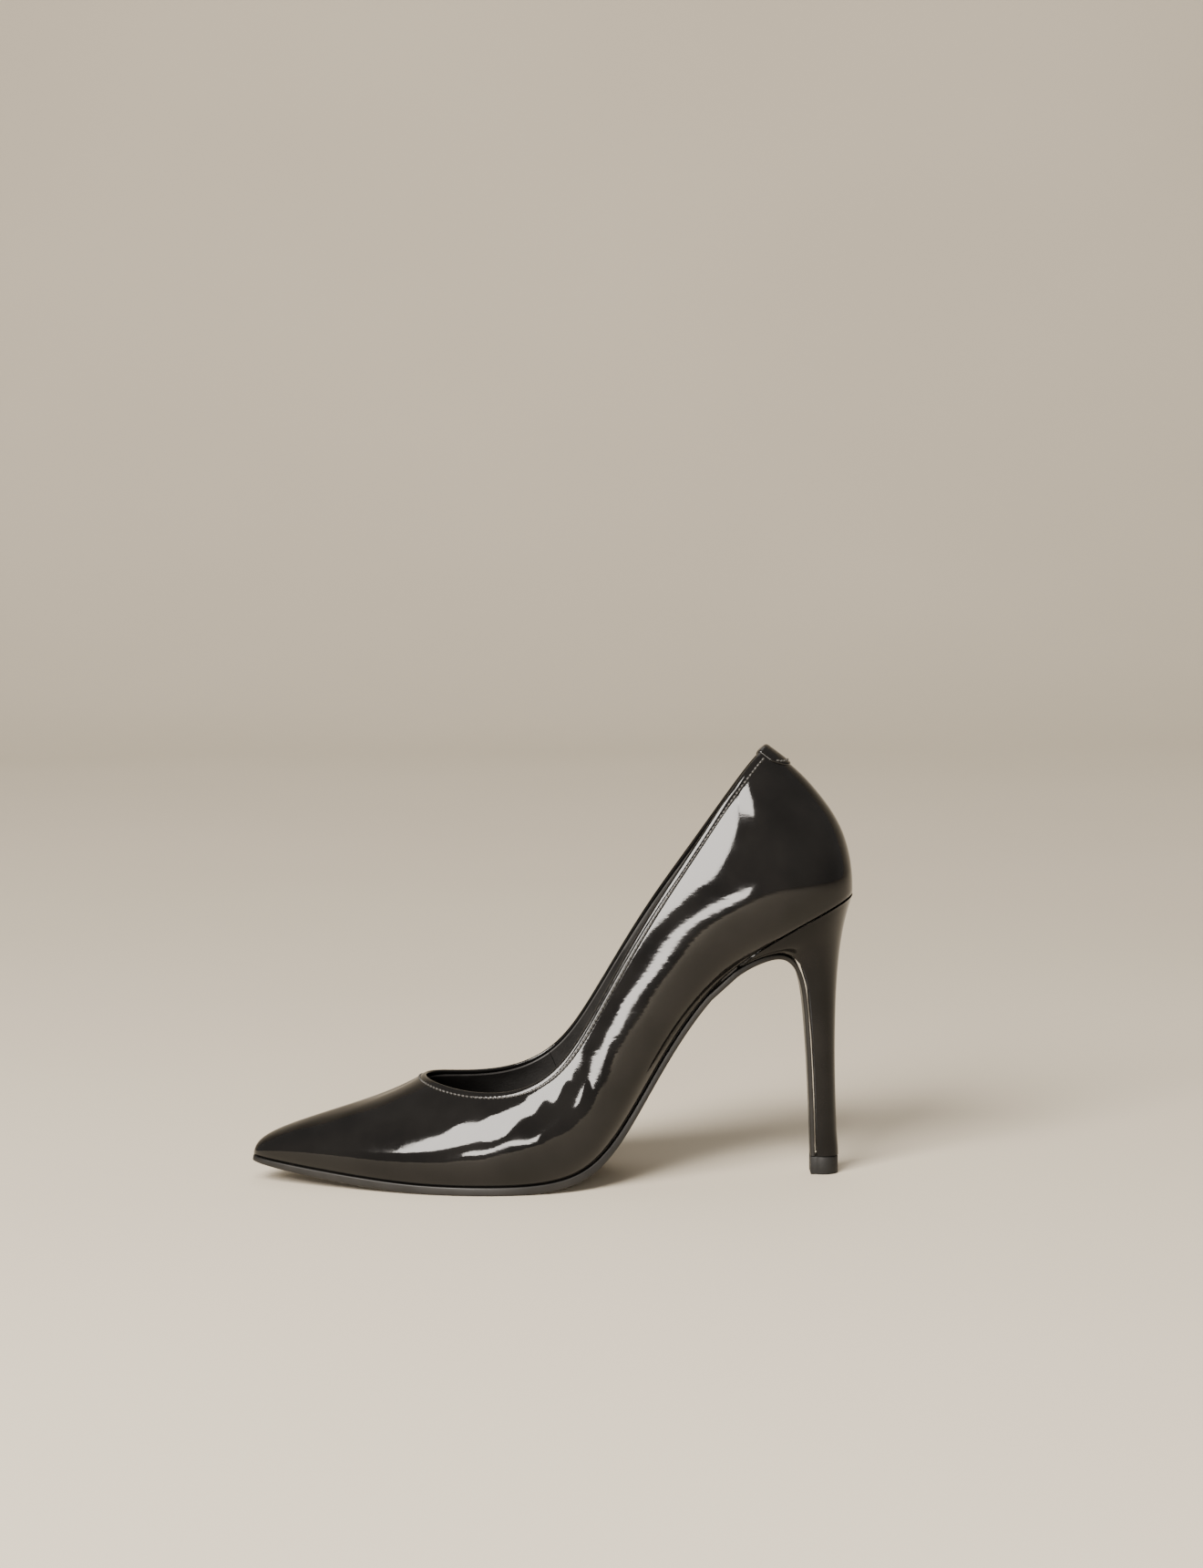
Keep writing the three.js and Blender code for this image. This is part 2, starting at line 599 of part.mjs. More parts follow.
function breastFlap(drop) {
  const step = 1e-3;
  const edge = heelPoint(heelFront, drop);
  const along = heelPoint(heelFront, Math.min(1, drop + step)).sub(heelPoint(heelFront, drop - step));
  const away = new THREE.Vector3(along.z, 0, -along.x).normalize();
  const thickness = THREE.MathUtils.lerp(waistThickness, flapThickness, THREE.MathUtils.smoothstep(drop, 0, 0.5));
  const at = (side, inset, depth) =>
    new THREE.Vector3(edge.x, side * (Math.abs(edge.y) - inset), edge.z).addScaledVector(away, clearance + depth);
  return [at(-1, 0, 0), at(1, 0, 0), at(1, 0, thickness - edgeBevel), at(1, edgeBevel, thickness),
    at(-1, edgeBevel, thickness), at(-1, 0, thickness - edgeBevel)];
}

const flapDrops = [0.06, 0.1, 0.15, 0.2, 0.25, 0.3, 0.35, 0.4, 0.45, 0.5, 0.6, 0.72, 0.86, 1];
const plateStart = 0.12; // the plate closes just behind the very tip of the toe
const plateEnd = heelFront - 0.25; // and turns down the breast from here
const plateStations = [plateStart, ...stationsBetween(0.25, plateEnd)];
addPiece("outsole", "soleLeather", loft([...plateStations.map(solePlate), ...flapDrops.map(breastFlap)], true));

// The top piece under the heel tip pulls out downwards with its pin.
const tipOutline = heelStations.map((station) => heelPoint(station, 1));
const breastFront = breastFlap(1)[3].x;
tipOutline.unshift(new THREE.Vector3(breastFront, tipOutline[0].y, 0));
tipOutline.push(new THREE.Vector3(breastFront, tipOutline.at(-1).y, 0));
const tipLevel = (z) => tipOutline.map((point) => point.clone().setZ(z));
const pinFoot = 1.5;
const pinFootRadius = pinRadius + 0.9;
const pinProfile = (grow) => [
  [0, -grow],
  [pinFootRadius + grow, -grow],
  [pinFootRadius + grow, 1 + grow],
  [pinRadius + grow, 1 + grow],
  [pinRadius + grow, topPieceHeight - pinFoot + pinLength],
  [0, topPieceHeight - pinFoot + pinLength],
].toReversed();
const pinStart = new THREE.Vector3(shaftCentre.x, 0, pinFoot);
addPiece("top_piece", "topPiece", cut(loft([tipLevel(0), tipLevel(topPieceHeight)], true),
  turned(pinProfile(clearance), pinStart, shaftUp, 16)));
addPiece("top_piece_pin", "steel", turned(pinProfile(0), pinStart, shaftUp, 16));

export default pump;
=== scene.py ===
import math
import bmesh
import bpy
import numpy as np
from mathutils import Matrix, Vector


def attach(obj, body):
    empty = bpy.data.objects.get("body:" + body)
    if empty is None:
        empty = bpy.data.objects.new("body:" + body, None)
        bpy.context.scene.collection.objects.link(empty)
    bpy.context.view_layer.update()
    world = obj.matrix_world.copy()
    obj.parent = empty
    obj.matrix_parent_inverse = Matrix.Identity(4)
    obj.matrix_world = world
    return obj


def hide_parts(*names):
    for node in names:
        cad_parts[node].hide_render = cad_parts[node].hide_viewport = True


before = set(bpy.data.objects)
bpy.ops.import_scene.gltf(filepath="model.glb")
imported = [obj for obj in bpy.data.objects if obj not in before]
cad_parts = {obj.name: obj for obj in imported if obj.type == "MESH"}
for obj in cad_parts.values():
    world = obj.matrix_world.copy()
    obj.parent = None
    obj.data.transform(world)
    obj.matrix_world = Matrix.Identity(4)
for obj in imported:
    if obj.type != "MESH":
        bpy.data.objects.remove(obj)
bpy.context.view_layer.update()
mm = 0.001
shoeBody, tipBody = "shoe", "heel_tip"
print("frame loaded,", len(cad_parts), "nodes")

# The last, as in the part's source: feather edge (x, z, outer, inner half width), then the topline
# (x, z, outer, inner half width, how much lower the inner side lies), toe tip to heel back, in mm.
last = {
    "stations": [
        ([-109.5, 9.6, 0, 0], [-46.2, 38.7, 0, 0, 0]),
        ([-107.5, 9.2, 5.2, 5.6], [-45.6, 38.4, 4.6, 4.6, 0]),
        ([-95.0, 7.4, 11.0, 12.2], [-44.0, 38.0, 9.6, 9.6, 0]),
        ([-75.0, 5.2, 20.0, 22.0], [-40.0, 37.2, 15.4, 15.4, 0]),
        ([-50.0, 3.0, 30.0, 32.6], [-31.5, 35.7, 21.5, 21.5, 0]),
        ([-24.0, 3.0, 35.8, 36.9], [-19.0, 35.4, 26.6, 26.2, 0]),
        ([-1.0, 3.0, 33.5, 30.0], [-7.0, 38.4, 29.2, 28.6, 0]),
        ([15.5, 7.8, 27.5, 22.5], [3.5, 46.2, 28.8, 28.0, 0.5]),
        ([28.6, 26.2, 21.8, 16.6], [12.5, 59.8, 27.4, 26.4, 1.4]),
        ([42.4, 51.2, 19.5, 15.5], [22.5, 78.2, 25.8, 25.0, 2.4]),
        ([60.2, 75.4, 19.0, 17.5], [36.0, 101.2, 24.0, 23.4, 3.2]),
        ([80.0, 88.6, 22.4, 22.0], [51.0, 122.7, 21.6, 21.2, 4.2]),
        ([97.0, 97.6, 22.4, 22.2], [64.5, 142.3, 17.0, 16.6, 4.2]),
        ([107.6, 102.4, 13.5, 13.5], [74.6, 154.8, 10.4, 10.2, 2.2]),
        ([110.2, 103.4, 0, 0], [80.2, 158.6, 0, 0, 0]),
    ],
    "wallShapes": [  # station, share of the way up for each row, swell of each row
        (0, [0, 0.016, 0.092, 0.333, 0.615, 0.835, 1], [0, 3.8, 6.4, 4.3, 0.9, -2.2, 0]),
        (2, [0, 0.06, 0.2, 0.42, 0.65, 0.85, 1], [0, 4.0, 7.2, 5.8, 2.8, 0, 0]),
        (5, [0, 0.1, 0.3, 0.52, 0.73, 0.89, 1], [0, 3.5, 5.3, 5.7, 4.7, 2.7, 0]),
        (9, [0, 0.135, 0.347, 0.564, 0.753, 0.89, 1], [0, 6.2, 8.8, 7.6, 5.4, 2.9, 0]),
        (12, [0, 0.1, 0.265, 0.46, 0.66, 0.845, 1], [0, 5.2, 8.0, 8.0, 6.4, 3.8, 0]),
        (14, [0, 0.075, 0.207, 0.39, 0.594, 0.81, 1], [0, 3.0, 7.2, 9.9, 8.9, 5.8, 0]),
    ],
    "lengthScale": 220 / 219.7,
    "heelRise": 100 / 100.4,
    "soleThickness": 3.0,
    "clearance": 0.3,
}
ring = 28  # stations round the shoe: 0..14 down the outer side, 14..28 back up the inner side
back = 14


def wrapStation(u):
    return np.mod(u, ring)


def fromToe(u):
    u = wrapStation(np.asarray(u, float))
    return np.minimum(u, ring - u)


def unit(v):
    return v / np.maximum(np.linalg.norm(v, axis=-1, keepdims=True), 1e-12)


def smooth(x, low, high):
    t = np.clip((np.asarray(x, float) - low) / (high - low), 0, 1)
    return t * t * (3 - 2 * t)


def raised(z):
    return last["soleThickness"] + (z - 3) * last["heelRise"]


def featherControl(i):
    outer = wrapStation(i) <= back
    x, z, out, inn = last["stations"][int(fromToe(i))][0]
    return np.array([x * last["lengthScale"], -out if outer else inn, raised(z)])


def toplineControl(i):
    outer = wrapStation(i) <= back
    feather, (x, z, out, inn, drop) = last["stations"][int(fromToe(i))]
    height = z - (0 if outer else drop) - feather[1]
    return np.array([x * last["lengthScale"], -out if outer else inn, raised(feather[1]) + height])


def wallColumn(i):
    foot = featherControl(i) + [0, 0, last["clearance"]]
    chord = toplineControl(i) - foot
    along = unit(chord)
    tangent = unit((featherControl(i + 1) - featherControl(i - 1)) * [1, 1, 0])
    out = np.array([tangent[1], -tangent[0], 0])
    out = unit(out - along * (out @ along))
    shapes, station = last["wallShapes"], fromToe(i)
    n = max(1, next(k for k, s in enumerate(shapes) if s[0] >= station))
    a, b = shapes[n - 1], shapes[n]
    share = (station - a[0]) / (b[0] - a[0])
    up = np.array(a[1]) + (np.array(b[1]) - a[1]) * share
    swell = np.array(a[2]) + (np.array(b[2]) - a[2]) * share
    return foot + np.outer(up, chord) + np.outer(swell, out)


# Columns of control points: uniform cubic across the columns, ending on the first and last rows.
class CubicNet:
    def __init__(self, columns, first):
        self.net = np.array(columns, float)
        self.first = first
        rows = self.net.shape[1]
        self.knots = np.clip(np.arange(rows + 4) - 3, 0, rows - 3).astype(float)

    def rowWeights(self, v):
        k, rows = self.knots, self.net.shape[1]
        x = np.clip(v, 0, 1) * (rows - 3)
        x = np.minimum(x, rows - 3 - 1e-9)
        b = [((x >= k[i]) & (x < k[i + 1])).astype(float) for i in range(len(k) - 1)]
        for p in (1, 2, 3):
            grown = []
            for i in range(len(b) - 1):
                low, high = k[i + p] - k[i], k[i + p + 1] - k[i + 1]
                left = (x - k[i]) / low * b[i] if low > 0 else 0
                right = (k[i + p + 1] - x) / high * b[i + 1] if high > 0 else 0
                grown.append(left + right)
            b = grown
        return np.stack([w + np.zeros_like(x) for w in b], -1)

    def at(self, u, v):
        u, v = np.broadcast_arrays(np.asarray(u, float), np.asarray(v, float))
        cell = np.clip(np.floor(u).astype(int), self.first + 1, self.first + len(self.net) - 3)
        t = u - cell
        across = np.stack([(1 - t) ** 3, 3 * t ** 3 - 6 * t ** 2 + 4,
                           -3 * t ** 3 + 3 * t ** 2 + 3 * t + 1, t ** 3], -1) / 6
        up = self.rowWeights(v)
        picked = self.net[(cell - self.first)[..., None] + np.arange(-1, 3)]
        return np.einsum("...a,...b,...abk->...k", across, up, picked)

    def normal(self, u, v):
        step = 1e-3
        a = self.at(u + step, v) - self.at(u - step, v)
        b = self.at(u, np.minimum(v + step, 1)) - self.at(u, np.maximum(v - step, 0))
        return unit(np.cross(a, b))


wallNet = CubicNet([wallColumn(i - 2) for i in range(ring + 5)], -2)


def wall(u, v):
    return wallNet.at(wrapStation(u), v)


def wallNormal(u, v):
    return wallNet.normal(wrapStation(u), v)


def feather(u):
    return wall(u, 0.0) - [0, 0, last["clearance"]]


def soleNormal(station):
    near = np.clip(station, 0.02, back - 0.02)
    t = unit((feather(near + 0.01) - feather(near - 0.01)) * [1, 0, 1])
    return np.stack([-t[..., 2], np.zeros_like(t[..., 0]), t[..., 0]], -1)


def solePoint(station, side, inset, height):
    station = np.asarray(station, float)
    around = station if side < 0 else ring - station
    edge = feather(around)
    t = unit(feather(around + 0.05) - feather(around - 0.05))
    slant = np.minimum(2.5, 1 / np.hypot(t[..., 0], t[..., 2]))
    edge[..., 1] -= side * inset * slant
    return edge + soleNormal(station) * np.asarray(height, float)[..., None]


def underPoint(u, inset, height):
    t = unit(feather(u + 0.01) - feather(u - 0.01))
    up = soleNormal(fromToe(u))
    inward = unit(np.cross(up, t))
    inset, height = np.asarray(inset, float)[..., None], np.asarray(height, float)[..., None]
    return feather(u) + inward * inset + up * height


# Length of the wall below the topline, so that a row can be set by its distance from the edge.
wallSteps = 240


def heightBelow(u, distance):
    v = np.linspace(0, 1, wallSteps)
    line = wall(u[:, None], v[None, :])
    run = np.linalg.norm(np.diff(line, axis=1), axis=-1)
    below = np.concatenate([np.cumsum(run[:, ::-1], 1)[:, ::-1], np.zeros((len(u), 1))], 1)
    return np.stack([np.interp(np.broadcast_to(d, np.shape(distance)[-1:]), b[::-1], v[::-1])
                     for b, d in zip(below, distance)])


# Meshes
def meshPiece(name, points, faces, material):
    mesh = bpy.data.meshes.new(name)
    mesh.from_pydata([tuple(p) for p in np.asarray(points) * mm], [], faces)
    mesh.materials.append(material)
    mesh.update()
    mesh.shade_smooth()
    piece = bpy.data.objects.new(name, mesh)
    bpy.context.scene.collection.objects.link(piece)
    return piece


def gridFaces(rows, columns, closedRows, closedColumns, flip=False):
    r = np.arange(rows if closedRows else rows - 1)
    c = np.arange(columns if closedColumns else columns - 1)
    r, c = [x.ravel() for x in np.meshgrid(r, c, indexing="ij")]
    r1, c1 = (r + 1) % rows, (c + 1) % columns
    quad = np.stack([r * columns + c, r * columns + c1, r1 * columns + c1, r1 * columns + c], 1)
    return (quad[:, ::-1] if flip else quad).tolist()


# A closed band through closed rings of points, one after the other.
def tubeGrid(name, sections, material, closedAround, capped, smoothAngle=None):
    sections = np.asarray(sections, float)
    count, size = sections.shape[:2]
    faces = gridFaces(count, size, closedAround, True)
    if capped:
        faces += [list(range(size))[::-1], [(count - 1) * size + k for k in range(size)]]
    piece = meshPiece(name, sections.reshape(-1, 3), faces, material)
    faceOutwards(piece)
    if smoothAngle:
        piece.data.set_sharp_from_angle(angle=math.radians(smoothAngle))
    return piece


def faceOutwards(piece):
    bm = bmesh.new()
    bm.from_mesh(piece.data)
    bmesh.ops.remove_doubles(bm, verts=bm.verts, dist=2e-6)
    bmesh.ops.dissolve_degenerate(bm, edges=bm.edges, dist=1e-7)
    bmesh.ops.recalc_face_normals(bm, faces=bm.faces)
    if bm.calc_volume(signed=True) < 0:
        bmesh.ops.reverse_faces(bm, faces=bm.faces)
    bm.to_mesh(piece.data)
    bm.free()
    piece.data.update()


# Shader maths: a socket that can be added, multiplied and so on.
class Wire:
    def __init__(self, tree, socket):
        self.tree, self.socket = tree, socket

    def maths(self, operation, *others):
        return node(self.tree, "ShaderNodeMath", {"operation": operation}, [self, *others])

    def __add__(self, other):
        return self.maths("ADD", other)

    def __mul__(self, other):
        return self.maths("MULTIPLY", other)

    def __sub__(self, other):
        return self.maths("SUBTRACT", other)

    def __rsub__(self, other):
        return node(self.tree, "ShaderNodeMath", {"operation": "SUBTRACT"}, [other, self])

    __radd__, __rmul__ = __add__, __mul__


# Adds a node: its settings first, then the values or wires of its sockets, by name or in order.
def node(tree, kind, settings=None, inputs=None, output=0):
    added = tree.nodes.new(kind)
    for key, value in (settings or {}).items():
        setattr(added, key, value)
    pairs = inputs.items() if isinstance(inputs, dict) else enumerate(inputs or [])
    for key, value in pairs:
        if isinstance(value, Wire):
            tree.links.new(value.socket, added.inputs[key])
        else:
            added.inputs[key].default_value = value
    return Wire(tree, added.outputs[output])


def noise(tree, place, scale, detail):
    return node(tree, "ShaderNodeTexNoise", None, {"Vector": place, "Scale": scale, "Detail": detail})


def stretched(tree, place, scale, turn=(0, 0, 0)):
    return node(tree, "ShaderNodeMapping", None, {"Vector": place, "Scale": scale, "Rotation": turn})


def mixColour(tree, share, a, b):
    return node(tree, "ShaderNodeMix", {"data_type": "RGBA"}, {0: share, 6: a, 7: b}, 2)


def between(tree, wire, low, high):  # a noise lies mostly within 0.3 to 0.7
    return node(tree, "ShaderNodeMapRange", None,
                {"Value": wire, "From Min": 0.3, "From Max": 0.7, "To Min": low, "To Max": high})


def newMaterial(name, fixed):
    material = bpy.data.materials.new(name)
    material.use_nodes = True
    tree = material.node_tree
    shader = tree.nodes["Principled BSDF"]
    for key, value in fixed.items():
        shader.inputs[key].default_value = value
    place = node(tree, "ShaderNodeTexCoord", output="Object")
    return material, tree, shader, place


def wireUp(tree, shader, colour, roughness=None, height=None, depth=None):
    tree.links.new(colour.socket, shader.inputs["Base Color"])
    if roughness:
        tree.links.new(roughness.socket, shader.inputs["Roughness"])
    if height:
        bump = node(tree, "ShaderNodeBump", None, {"Height": height, "Distance": depth, "Strength": 1.0})
        tree.links.new(bump.socket, shader.inputs["Normal"])


# Patent leather: a clear glossy film, slightly rippled, over black.
patentLook = {"deep": (0.0035, 0.0033, 0.0032, 1), "worn": (0.008, 0.0074, 0.007, 1),
              "gloss": (0.045, 0.085), "cloud": 45, "smear": 160, "ripple": 620, "peel": 1900,
              "depth": 0.00002, "shine": 0.34, "slope": -38}


def patentLeather(name, look):
    material, tree, shader, place = newMaterial(name, {"IOR": 1.5, "Specular IOR Level": look["shine"]})
    cloud = between(tree, noise(tree, place, look["cloud"], 3), 0, 1)
    lengthways = stretched(tree, place, (0.25, 1, 1), (0, math.radians(look["slope"]), 0))
    ripple = noise(tree, lengthways, look["ripple"], 2)
    peel = noise(tree, place, look["peel"], 1)
    gloss = between(tree, noise(tree, place, look["smear"], 3), *look["gloss"])
    colour = mixColour(tree, cloud, look["deep"], look["worn"])
    wireUp(tree, shader, colour, gloss, ripple * 0.75 + peel * 0.2, look["depth"])
    return material


# Leathers, plastics, board and the rest: two tones mottled together, with a grain.
def grained(name, look):
    material, tree, shader, place = newMaterial(name, look.get("fixed", {}))
    mottle = between(tree, noise(tree, place, look["mottle"], 4), 0, 1)
    if look.get("stretch"):
        place = stretched(tree, place, look["stretch"])
    if look.get("pebble"):
        cells = node(tree, "ShaderNodeTexVoronoi", {"feature": "SMOOTH_F1"},
                     {"Vector": place, "Scale": look["grain"]})
        grain = cells + noise(tree, place, look["grain"] * 2.3, 2) * 0.35
    else:
        grain = noise(tree, place, look["grain"], 3)
    roughness = between(tree, noise(tree, place, look["mottle"] * 3, 3), *look["roughness"])
    colour = mixColour(tree, mottle, look["dark"], look["light"])
    wireUp(tree, shader, colour, roughness, grain, look["depth"])
    return material


looks = {
    "soleResin": {"dark": (0.0095, 0.0089, 0.0083, 1), "light": (0.015, 0.014, 0.013, 1), "mottle": 60,
                  "grain": 1500, "roughness": (0.34, 0.46), "depth": 0.000014,
                  "fixed": {"Specular IOR Level": 0.32}},
    "liningLeather": {"dark": (0.0075, 0.007, 0.0066, 1), "light": (0.014, 0.0128, 0.012, 1), "mottle": 70,
                      "grain": 1300, "pebble": True, "roughness": (0.55, 0.72), "depth": 0.00005},
    "sockLeather": {"dark": (0.010, 0.0094, 0.0088, 1), "light": (0.018, 0.0165, 0.0155, 1), "mottle": 55,
                    "grain": 1000, "pebble": True, "roughness": (0.5, 0.66), "depth": 0.00006},
    "polyesterThread": {"dark": (0.02, 0.019, 0.018, 1), "light": (0.06, 0.057, 0.053, 1), "mottle": 900,
                        "grain": 5200, "stretch": (1, 1, 0.4), "roughness": (0.3, 0.45), "depth": 0.00005},
    "topPieceRubber": {"dark": (0.005, 0.0049, 0.0047, 1), "light": (0.009, 0.0088, 0.0085, 1),
                       "mottle": 300, "grain": 2600, "roughness": (0.5, 0.66), "depth": 0.00003,
                       "fixed": {"Specular IOR Level": 0.3}},
    "heelPlastic": {"dark": (0.020, 0.020, 0.022, 1), "light": (0.032, 0.032, 0.034, 1), "mottle": 80,
                    "grain": 900, "roughness": (0.4, 0.55), "depth": 0.00002},
    "springSteel": {"dark": (0.32, 0.33, 0.34, 1), "light": (0.46, 0.46, 0.47, 1), "mottle": 120,
                    "grain": 800, "stretch": (0.08, 1, 1), "roughness": (0.25, 0.4), "depth": 0.00001,
                    "fixed": {"Metallic": 1.0}},
    "fibreboard": {"dark": (0.17, 0.115, 0.068, 1), "light": (0.26, 0.185, 0.115, 1), "mottle": 220,
                   "grain": 1600, "roughness": (0.8, 0.95), "depth": 0.00006},
    "stiffenerSheet": {"dark": (0.55, 0.52, 0.45, 1), "light": (0.68, 0.65, 0.58, 1), "mottle": 160,
                       "grain": 1800, "roughness": (0.7, 0.85), "depth": 0.00004},
    "latexFoam": {"dark": (0.48, 0.44, 0.36, 1), "light": (0.62, 0.58, 0.49, 1), "mottle": 200,
                  "grain": 1400, "pebble": True, "roughness": (0.85, 0.97), "depth": 0.00015},
    "corkFiller": {"dark": (0.12, 0.07, 0.035, 1), "light": (0.36, 0.24, 0.13, 1), "mottle": 420,
                   "grain": 700, "pebble": True, "roughness": (0.8, 0.95), "depth": 0.0002},
}
patent = patentLeather("patentLeather", patentLook)
heelLook = dict(patentLook, gloss=(0.10, 0.16), ripple=420, depth=0.000008, shine=0.2)
heelPatent = patentLeather("heelPatent", heelLook)
made = {name: grained(name, look) for name, look in looks.items()}
print("materials made")


# Upper: one skin lasted round the shoe, folded over at the topline and turned in under the insole.
# Sizes in mm; the seam's places, and how far the back tab reaches, in stations.
upperSizes = {
    "columnsPerStation": 34, "thickness": 1.1, "margin": 11,
    "bead": 0.16, "beadPlace": 1.15, "beadWidth": 0.85,  # the folded topline's rounded edge
    "stitchInset": 2.6, "stitchPitch": 1.7, "groove": 0.26, "grooveWidth": 0.34, "pucker": 0.3,
    "seamStation": 19.4, "seamLap": 0.3, "seamRow": 0.11, "seamRowWidth": 0.028, "seamRowDepth": 0.16,
    "wave": 0.07, "crease": 0.08,
    "waves": [(2.1, 5.2, 0, 1), (3.7, -7.5, 1.3, 0.7), (6.1, 11, 0.4, 0.5)],  # round, up, shift, share
    "nearRows": [6.0, 4.6, 3.9, 3.4, 3.1, 2.85, 2.6, 2.35, 2.1, 1.8, 1.4, 1.0],  # below the topline
    "lowRows": 32, "lowest": 0.008, "crowding": 1.15,
}
tabSizes = {"reach": 0.75, "foot": 0.912, "curve": 0.05, "top": 0.995, "thickness": 0.6,
            "gap": 0.12, "row": 0.2, "rowWidth": 0.035, "rowDepth": 0.16}


def marginWidth(u):
    half = np.abs(feather(u)[..., 1])
    return upperSizes["margin"] * half / (half + upperSizes["margin"]) + 3


# The stitch row below the topline, from one side of the back tab round the toe to the other.
def runOf(points):
    return np.concatenate([[0], np.cumsum(np.linalg.norm(np.diff(points, axis=0), axis=1))])


rowStart = back + tabSizes["reach"] + 0.06
rowStations = np.linspace(rowStart, 2 * back + ring - rowStart, 2600)
rowHeights = heightBelow(rowStations, np.full((len(rowStations), 1), upperSizes["stitchInset"]))[:, 0]
rowPoints = wall(rowStations, rowHeights)
rowRun = runOf(rowPoints)
rowCount = round(rowRun[-1] / upperSizes["stitchPitch"])


def rowPhase(u):
    beyond = np.where(u < rowStations[0], u + ring, u)
    inside = (beyond >= rowStations[0]) & (beyond <= rowStations[-1])
    return np.interp(beyond, rowStations, rowRun) / rowRun[-1] * rowCount, inside


# How far the leather stands out from the last's own surface, in mm.
def upperRelief(u, v, below):
    s = upperSizes
    around, toe = wrapStation(u), fromToe(u)
    phase, inside = rowPhase(u)
    pull = 1 - s["pucker"] + s["pucker"] * np.cos(2 * math.pi * phase)
    bead = s["bead"] * np.exp(-((below - s["beadPlace"]) / s["beadWidth"]) ** 2)
    groove = np.exp(-((below - s["stitchInset"]) / s["grooveWidth"]) ** 2)
    groove = groove * np.where(inside, s["groove"] * pull, 0)
    calm = smooth(below, 1.5, 9) * smooth(v, 0.02, 0.16)  # nothing at the stitches or the feather edge
    wave = sum(share * np.sin(a * u + b * v + shift) for a, b, shift, share in s["waves"])
    wave = wave / sum(w[3] for w in s["waves"])
    flex = smooth(toe, 3.6, 5.2) * (1 - smooth(toe, 7.6, 9.2))  # the ball, where the shoe bends
    crease = np.sin(9.5 * toe + 2.6 * np.sin(5 * v)) * np.sin(4.2 * v + 1.1 * toe)
    relief = bead - groove + s["wave"] * wave * calm + s["crease"] * crease * flex * calm
    lap = smooth(around, s["seamStation"] - 0.02, s["seamStation"] + 0.02)
    lap = lap * (1 - smooth(around, s["seamStation"] + 0.4, s["seamStation"] + 3))
    stitched = np.exp(-((around - s["seamStation"] - s["seamRow"]) / s["seamRowWidth"]) ** 2)
    return relief + np.where(around > back, s["seamLap"] * lap - s["seamRowDepth"] * stitched, 0)


def upperSections():
    s = upperSizes
    u = np.arange(ring * s["columnsPerStation"]) / s["columnsPerStation"]
    r = s["thickness"] / 2
    margin = marginWidth(u)
    rows = []

    def under(inset, height):
        rows.append(underPoint(u, inset + 0 * u, height + 0 * u))

    def outside(v, below):
        rows.append(wall(u, v) + wallNormal(u, v) * upperRelief(u, v, below + 0 * u)[:, None])

    for share in (1, 0.6, 0.3):
        under(0.3 + margin * share, last["clearance"])
    under(0.7, last["clearance"])
    under(0.25, last["clearance"] + 0.03)
    near = np.array([*s["nearRows"], r])
    vNear = heightBelow(u, np.tile(near, (len(u), 1)))
    for share in np.linspace(0, 1, s["lowRows"] + 1)[:-1] ** s["crowding"]:
        outside(s["lowest"] + (vNear[:, 0] - s["lowest"]) * share, near[0] + (1 - share) * 30)
    for v, below in zip(vNear.T, near):
        outside(v, below)
    edge, out = wall(u, 1.0), wallNormal(u, 1.0)
    up = unit(edge - wall(u, 0.99))
    centre = edge - out * r - up * r
    lift = upperRelief(u, np.ones_like(u), np.full_like(u, r))[:, None]
    for angle in np.linspace(0, math.pi, 9)[1:]:  # over the topline
        reach = r + lift * (1 + math.cos(angle)) / 2
        rows.append(centre + out * reach * math.cos(angle) + up * r * math.sin(angle))
    for height in (0.97, 0.93, 0.82, 0.66, 0.5, 0.34, 0.2, 0.09):  # down the inside
        rows.append(wall(u, height) - wallNormal(u, height) * s["thickness"])
    under(s["thickness"], last["clearance"] + s["thickness"])
    under(0.3 + margin, last["clearance"] + s["thickness"])
    return np.stack(rows, 1)


upper = tubeGrid("upper_skin", upperSections(), patent, True, False)
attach(upper, shoeBody)
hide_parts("upper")
print("upper", len(upper.data.polygons))

# Linings: they lie behind the upper, deeper over the toe puff and the heel counter.
liningSizes = {"thickness": 0.7, "gap": 0.6, "puff": 0.8, "counter": 1.2, "top": 0.985, "join": 6.5,
               "joinGap": 0.015, "puffEnd": (3.5, 0.5), "counterEnd": (9.5, 0.82)}


def liningDepth(u, v):
    s, along = liningSizes, fromToe(u)
    (puffBack, puffTop), (counterFront, counterTop) = s["puffEnd"], s["counterEnd"]
    overPuff = (1 - smooth(along, puffBack, puffBack + 0.5)) * (1 - smooth(v, puffTop, puffTop + 0.15))
    overCounter = smooth(along, counterFront - 0.5, counterFront) * (1 - smooth(v, counterTop, 1))
    stiffeners = overPuff * (s["puff"] + 0.3) + overCounter * (s["counter"] + 0.3)
    return upperSizes["thickness"] + s["gap"] + stiffeners


liningMargin = last["clearance"] + upperSizes["thickness"] + liningSizes["gap"]


